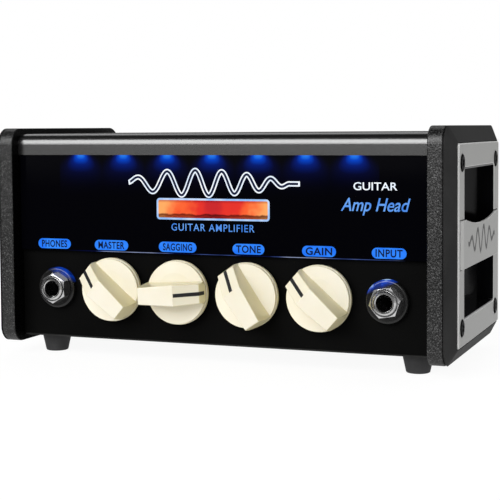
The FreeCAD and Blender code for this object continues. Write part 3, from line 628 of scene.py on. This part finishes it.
def ribbon(points, half_width, y, closed=False):
    """Flat ribbon along (x, z) points, as thin raised ink."""
    builder = bmesh.new()
    count = len(points)
    rows = []
    for i, (px, pz) in enumerate(points):
        before = points[(i - 1) % count] if closed or i > 0 else points[i]
        after = points[(i + 1) % count] if closed or i < count - 1 else points[i]
        along = Vector((after[0] - before[0], after[1] - before[1])).normalized()
        side = Vector((-along.y, along.x)) * half_width
        row = []
        for lift in (0.0, -ink_thickness):
            row.append(builder.verts.new((px + side.x, y + lift, pz + side.y)))
            row.append(builder.verts.new((px - side.x, y + lift, pz - side.y)))
        rows.append(row)
    pairs = list(zip(rows, rows[1:]))
    if closed:
        pairs.append((rows[-1], rows[0]))
    for a, b in pairs:
        for i, j in ((0, 1), (1, 3), (3, 2), (2, 0)):
            builder.faces.new((a[i], a[j], b[j], b[i]))
    if not closed:
        builder.faces.new((rows[0][0], rows[0][2], rows[0][3], rows[0][1]))
        builder.faces.new((rows[-1][0], rows[-1][1], rows[-1][3], rows[-1][2]))
    bmesh.ops.recalc_face_normals(builder, faces=builder.faces)
    return builder


def rounded_rectangle(x, z, width, height, radius, steps=8):
    """Corner-rounded outline as (x, z) points, anticlockwise."""
    points = []
    for quarter, (sx, sz) in enumerate(((1, 1), (-1, 1), (-1, -1), (1, -1))):
        centre_x = x + sx * (width / 2 - radius)
        centre_z = z + sz * (height / 2 - radius)
        for i in range(steps + 1):
            angle = math.radians(90 * (quarter + i / steps))
            along_x, along_z = radius * math.cos(angle), radius * math.sin(angle)
            points.append((centre_x + along_x, centre_z + along_z))
    return points


def filled(points, y, thickness):
    """Thin plate facing -Y from an (x, z) outline."""
    builder = bmesh.new()
    near = [builder.verts.new((px, y - thickness, pz)) for px, pz in points]
    far = [builder.verts.new((px, y, pz)) for px, pz in points]
    builder.faces.new(near)
    builder.faces.new(list(reversed(far)))
    for i in range(len(points)):
        j = (i + 1) % len(points)
        builder.faces.new((near[i], far[i], far[j], near[j]))
    bmesh.ops.recalc_face_normals(builder, faces=builder.faces)
    return builder


pill_blue = glow("pill_blue", (0.012, 0.17, 0.92), (0.03, 0.25, 1.0), 0.95)
print_blue = glow("print_blue", (0.05, 0.24, 0.85), (0.16, 0.42, 1.0), 0.85)
print_white = glow("print_white", (0.75, 0.86, 1.0), (0.95, 0.98, 1.0), 1.0)
frame_blue = glow("frame_blue", (0.28, 0.52, 0.95), (0.60, 0.75, 1.0), 0.9)
dark_letter = glow("dark_letter", (0.004, 0.012, 0.06), (0.008, 0.02, 0.10), 0.4)

pill_height = 4.1 * MM
pill_z = acrylic_low.z + 2.75 * MM
print_y = acrylic_low.y - 0.01 * MM


def control_label(word, x, width):
    """Blue pill with a dark control word, both printed on the acrylic."""
    low_name = word.lower()
    outline = rounded_rectangle(x, pill_z, width, pill_height, pill_height / 2 - 0.01 * MM)
    pill = filled(outline, print_y, ink_thickness)
    piece("label_" + low_name, from_bmesh("label", pill), pill_blue, "head")
    letter_height, word_width = 0.72 * pill_height, 0.78 * width
    letters = lettering(word, x, pill_z, letter_height, word_width, weight=0.024, spacing=1.1)
    piece("word_" + low_name, moved_along_y(letters, print_y - ink_lift), dark_letter, "head")


# word, node of the control under it, sideways offset and width of the pill in millimetres
front_labels = (
    ("PHONES", "phones_jack", -0.4, 15.2), ("MASTER", "master_shaft", -0.4, 15.2),
    ("SAGGING", "sagging_shaft", -0.4, 16.4), ("TONE", "tone_shaft", 0.4, 13.3),
    ("GAIN", "gain_shaft", -0.2, 13.6), ("INPUT", "input_jack", 1.0, 13.4))
for word, node, offset, width in front_labels:
    control_label(word, node_centre(node).x + offset * MM, width * MM)


def picture_window():
    """Small warm picture with a pale blue frame, in the middle of the acrylic."""
    width = 47.4 * MM
    height = 7.8 * MM
    centre_z = 62.2 * MM
    corner_radius = 1.0 * MM
    border_half_width = 0.38 * MM
    outline = rounded_rectangle(0.0, centre_z, width, height, corner_radius)
    low = Vector((-width / 2, 0, centre_z - height / 2))
    high = Vector((width / 2, 0, centre_z + height / 2))
    picture = filled(outline, print_y, ink_thickness)
    piece("picture_print", from_bmesh("picture", picture), sunset_print(low, high), "head")
    border = ribbon(outline, border_half_width, print_y - ink_lift, closed=True)
    piece("picture_border", from_bmesh("border", border), frame_blue, "head")


def wave_emblem():
    """Plain decaying string wave where a maker would put a name."""
    half_length = 36.5 * MM
    swell = 6.2 * MM
    centre_z = 72.6 * MM
    count = 420
    end_gap = 4
    points = []
    for i in range(count + 1):
        t = i / count
        envelope = (math.sin(math.pi * min(1.0, t * 1.06)) ** 0.6) * (1.0 - 0.45 * t)
        swing = math.sin(2 * math.pi * (5.0 * t + 1.5 * t * t)) * swell * envelope
        points.append((-half_length + 2 * half_length * t, centre_z + swing))
    line = ribbon(points, 1.0 * MM, print_y)
    piece("wave_emblem", from_bmesh("wave", line), print_white, "head")
    inner = ribbon(points[end_gap:-end_gap], 0.46 * MM, print_y - ink_lift)
    piece("wave_emblem_core", from_bmesh("wave_core", inner), dark_letter, "head")


picture_window()
wave_emblem()
caption = lettering(
    "GUITAR AMPLIFIER", 0.0, 55.0 * MM, height=2.9 * MM, width=35.4 * MM, weight=0.004, spacing=1.15)
piece("caption_print", moved_along_y(caption, print_y), print_blue, "head")
right_words_x = 66.3 * MM
small_word = lettering(
    "GUITAR", right_words_x, 72.0 * MM, height=3.0 * MM, width=17.0 * MM, weight=0.008)
piece("small_word_print", moved_along_y(small_word, print_y), print_white, "head")
large_word = lettering(
    "Amp Head", right_words_x, 64.3 * MM, height=6.6 * MM, width=27.0 * MM, slant=0.3, weight=0.008)
piece("large_word_print", moved_along_y(large_word, print_y), print_blue, "head")


def rear_words():
    """White words printed on the back panel over its controls."""
    rear_y = panel_high.y + 0.04 * MM
    words_z = 42.0 * MM
    letter_pitch = 1.75 * MM
    words = (
        ("POWER", "switch_frame"), ("DC IN", "dc_inlet"), ("PRESENCE", "presence_knob"),
        ("RESONANCE", "resonance_knob"), ("AUX IN", "aux_jack"), ("SPEAKER", "speaker_jack"))
    for word, node in words:
        x = node_centre(node).x
        width = letter_pitch * len(word)
        letters = lettering(word, x, words_z, 2.4 * MM, width, weight=0.008, to_rear=True)
        name = "rear_" + word.lower().replace(" ", "_")
        piece(name, moved_along_y(letters, rear_y), rear_ink, "head")


rear_ink = glow("rear_white_ink", neutral(0.50), neutral(0.62), 0.35)
rear_words()


# ---- floor, lights, camera ----------------------------------------------------------
def studio_floor():
    """Wide pale floor with a barely visible cloud in its tone."""
    builder = bmesh.new()
    half_size = 9.0
    signs = [(-1, -1), (1, -1), (1, 1), (-1, 1)]
    builder.faces.new([builder.verts.new((sx * half_size, sy * half_size, 0.0)) for sx, sy in signs])
    floor = bpy.data.objects.new("studio_floor", from_bmesh("floor", builder))
    scene.collection.objects.link(floor)
    s = Shader("pale_floor")
    s.drive("Base Color", s.ramp(s.noise(3.0, 3.0), neutrals((0.3, 0.10), (0.7, 0.11))))
    s.set(Roughness=0.9, Specular_IOR_Level=0.1)
    s.main.inputs["Emission Color"].default_value = (1.0, 1.0, 1.0, 1.0)
    seen = s.add("LightPath").outputs["Is Camera Ray"]
    s.drive("Emission Strength", s.between(seen, 0.0, 1.0, 0.60, 0.93))
    floor.data.materials.append(s.material)


def dark_card():
    """Black card on the floor in front, seen only in reflections, as a photographer's flag."""
    left, right = -1.9, 0.35
    near, far = -0.13, -2.2
    above_floor = 0.002
    outline = [(left, near), (left, far), (right, far), (right, near)]
    builder = bmesh.new()
    builder.faces.new([builder.verts.new((x, y, above_floor)) for x, y in outline])
    card = bpy.data.objects.new("dark_card", from_bmesh("card", builder))
    scene.collection.objects.link(card)
    s = Shader("card_black")
    s.drive("Base Color", s.ramp(s.noise(20.0), neutrals((0.3, 0.004), (0.7, 0.006))))
    s.set(Roughness=1.0, Specular_IOR_Level=0.0)
    card.data.materials.append(s.material)
    card.visible_camera = False
    card.visible_diffuse = False
    card.visible_shadow = False
    card.visible_transmission = False


def studio_world():
    """White to the eye; as a light, pale near the horizon and nearly black overhead."""
    world = bpy.data.worlds.new("studio")
    world.use_nodes = True
    tree = world.node_tree
    background = tree.nodes["Background"]
    background.inputs["Color"].default_value = (1.0, 1.0, 1.0, 1.0)
    direction = tree.nodes.new("ShaderNodeTexCoord")
    height = tree.nodes.new("ShaderNodeSeparateXYZ")
    tree.links.new(direction.outputs["Generated"], height.inputs[0])
    fade = tree.nodes.new("ShaderNodeMapRange")
    ends = {"From Min": 0.0, "From Max": 0.9, "To Min": 0.34, "To Max": 0.02}
    for name, value in ends.items():
        fade.inputs[name].default_value = value
    tree.links.new(height.outputs["Z"], fade.inputs["Value"])
    seen = tree.nodes.new("ShaderNodeLightPath")
    strength = tree.nodes.new("ShaderNodeMapRange")
    strength.inputs["To Max"].default_value = 1.0
    tree.links.new(fade.outputs["Result"], strength.inputs["To Min"])
    tree.links.new(seen.outputs["Is Camera Ray"], strength.inputs["Value"])
    tree.links.new(strength.outputs["Result"], background.inputs["Strength"])
    scene.world = world


def area_light(name, place, aim, size, power, height=None):
    data = bpy.data.lights.new(name, "AREA")
    data.energy = power
    data.size = size
    if height is not None:
        data.shape = "RECTANGLE"
        data.size_y = height
    made = bpy.data.objects.new(name, data)
    made.location = place
    made.rotation_euler = (Vector(aim) - Vector(place)).to_track_quat("-Z", "Y").to_euler()
    scene.collection.objects.link(made)


def photo_camera():
    """Camera at the reference viewpoint: low, in front and to the right."""
    yaw, pitch, roll = (math.radians(a) for a in (21.358, -3.211, -0.398))
    ahead = math.cos(pitch)
    forward = Vector((-math.sin(yaw) * ahead, math.cos(yaw) * ahead, math.sin(pitch)))
    level = Vector((math.cos(yaw), math.sin(yaw), 0.0))
    upright = level.cross(forward)
    across = level * math.cos(roll) + upright * math.sin(roll)
    up = upright * math.cos(roll) - level * math.sin(roll)
    data = bpy.data.cameras.new("camera")
    data.sensor_width = 36.0
    data.lens = 92.78
    data.shift_y = -0.1
    data.clip_start = 0.01
    made = bpy.data.objects.new("camera", data)
    turn = Matrix((across, up, -forward)).transposed().to_4x4()
    place = Vector((197.985 * MM, front_y - 459.798 * MM, 94.222 * MM))
    made.matrix_world = Matrix.Translation(place) @ turn
    scene.collection.objects.link(made)
    scene.camera = made


studio_floor()
dark_card()
studio_world()
middle = Vector((0.0, 0.0, 0.05))
area_light("front_light", (-0.28, -1.06, 0.64), middle, 1.2, 14.0, height=0.72)
area_light("low_light", (-0.45, -1.25, 0.20), middle, 1.5, 0.6, height=0.36)
area_light("back_light", (0.0, 0.85, 1.15), middle, 2.2, 7.0, height=0.9)
area_light("side_light", (1.4, 0.45, 0.5), middle, 0.8, 7.0)
photo_camera()
